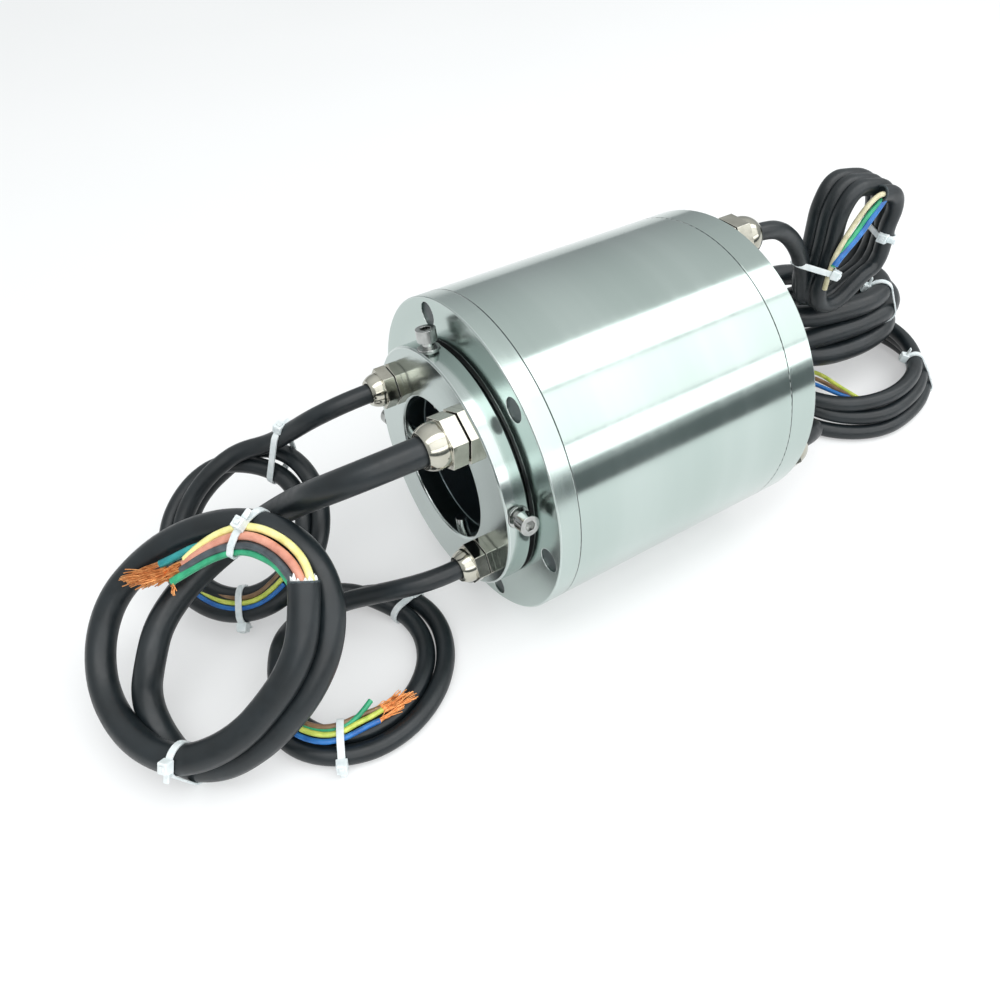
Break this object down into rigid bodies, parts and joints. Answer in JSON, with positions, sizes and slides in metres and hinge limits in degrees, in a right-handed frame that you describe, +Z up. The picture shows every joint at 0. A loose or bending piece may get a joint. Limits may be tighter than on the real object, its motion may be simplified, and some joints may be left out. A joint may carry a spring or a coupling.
{
  "type": "slip ring",
  "caption": "Hollow-shaft slip ring: a metal drum with a turning collar, a through bore, clamp screws, cable glands on both ends and thick coiled cables with stripped cores.",
  "frame": {"origin": "on the bore axis, in the plane of the drum's front face", "axes": "+X along the bore from the collar end to the rear of the drum, +Z up, with the drum lying on its side"},
  "size_m": [0.5957, 0.1876, 0.17],
  "materials": {
    "drum_steel": "satin turned stainless steel",
    "dark_sleeve": "dark polished steel",
    "screw_steel": "bright zinc-plated steel",
    "bearing_steel": "ground steel",
    "gland_nickel": "nickel-plated brass",
    "ring_brass": "turned brass",
    "cage_brass": "machined brass",
    "spring_brass": "spring bronze",
    "insulator": "moulded resin",
    "carbon": "metal-graphite block",
    "black_plug": "matt moulded plug",
    "seal_rubber": "matt rubber",
    "cable_rubber": "smooth rubber sheath"
  },
  "bodies": {
    "stator": {"front_flange": "drum_steel", "housing_tube": "drum_steel", "rear_flange": "drum_steel", "front_flange_screws": "screw_steel", "screw_plugs": "black_plug", "rear_flange_screws": "screw_steel", "front_bearing_outer_race": "bearing_steel", "rear_bearing_outer_race": "bearing_steel", "front_seal": "seal_rubber", "rear_seal": "seal_rubber", "brush_bars": "insulator", "brush_bar_screws": "screw_steel", "brushes": "carbon", "brush_springs": "spring_brass", "rear_gland_1_body": "gland_nickel", "rear_gland_1_nut": "gland_nickel", "rear_gland_2_body": "gland_nickel", "rear_gland_2_nut": "gland_nickel", "rear_gland_3_body": "gland_nickel", "rear_gland_3_nut": "gland_nickel", "cable_4_tube": "cable_rubber", "cable_4_coil": "cable_rubber", "cable_5_tube": "cable_rubber", "cable_5_coil": "cable_rubber", "cable_6_tube": "cable_rubber", "cable_6_coil": "cable_rubber"},
    "front_ball_set": {"front_bearing_balls": "bearing_steel", "front_bearing_cage": "cage_brass"},
    "rear_ball_set": {"rear_bearing_balls": "bearing_steel", "rear_bearing_cage": "cage_brass"},
    "rotor": {"rotor_collar": "drum_steel", "rotor_sleeve": "dark_sleeve", "ring_insulator": "insulator", "contact_ring_01": "ring_brass", "contact_ring_02": "ring_brass", "contact_ring_03": "ring_brass", "contact_ring_04": "ring_brass", "contact_ring_05": "ring_brass", "contact_ring_06": "ring_brass", "contact_ring_07": "ring_brass", "contact_ring_08": "ring_brass", "contact_ring_09": "ring_brass", "contact_ring_10": "ring_brass", "contact_ring_11": "ring_brass", "front_bearing_inner_race": "bearing_steel", "rear_bearing_inner_race": "bearing_steel", "clamp_screws": "screw_steel", "clamp_washers": "screw_steel", "front_gland_1_body": "gland_nickel", "front_gland_1_nut": "gland_nickel", "front_gland_2_body": "gland_nickel", "front_gland_2_nut": "gland_nickel", "front_gland_3_body": "gland_nickel", "front_gland_3_nut": "gland_nickel", "cable_1_tube": "cable_rubber", "cable_1_coil": "cable_rubber", "cable_2_tube": "cable_rubber", "cable_2_coil": "cable_rubber", "cable_3_tube": "cable_rubber", "cable_3_coil": "cable_rubber"}
  },
  "joints": [
    {"name": "rotor_spin", "type": "hinge", "parent": "stator", "child": "rotor", "pos_m": [0, 0, 0], "axis": [1, 0, 0], "continuous": true},
    {"name": "front_cage_spin", "type": "hinge", "parent": "stator", "child": "front_ball_set", "pos_m": [0, 0, 0], "axis": [1, 0, 0], "continuous": true},
    {"name": "rear_cage_spin", "type": "hinge", "parent": "stator", "child": "rear_ball_set", "pos_m": [0, 0, 0], "axis": [1, 0, 0], "continuous": true}
  ],
  "couplings": [
    {"joint": "front_cage_spin", "follows": "rotor_spin", "ratio": 0.464},
    {"joint": "rear_cage_spin", "follows": "rotor_spin", "ratio": 0.4641}
  ]
}
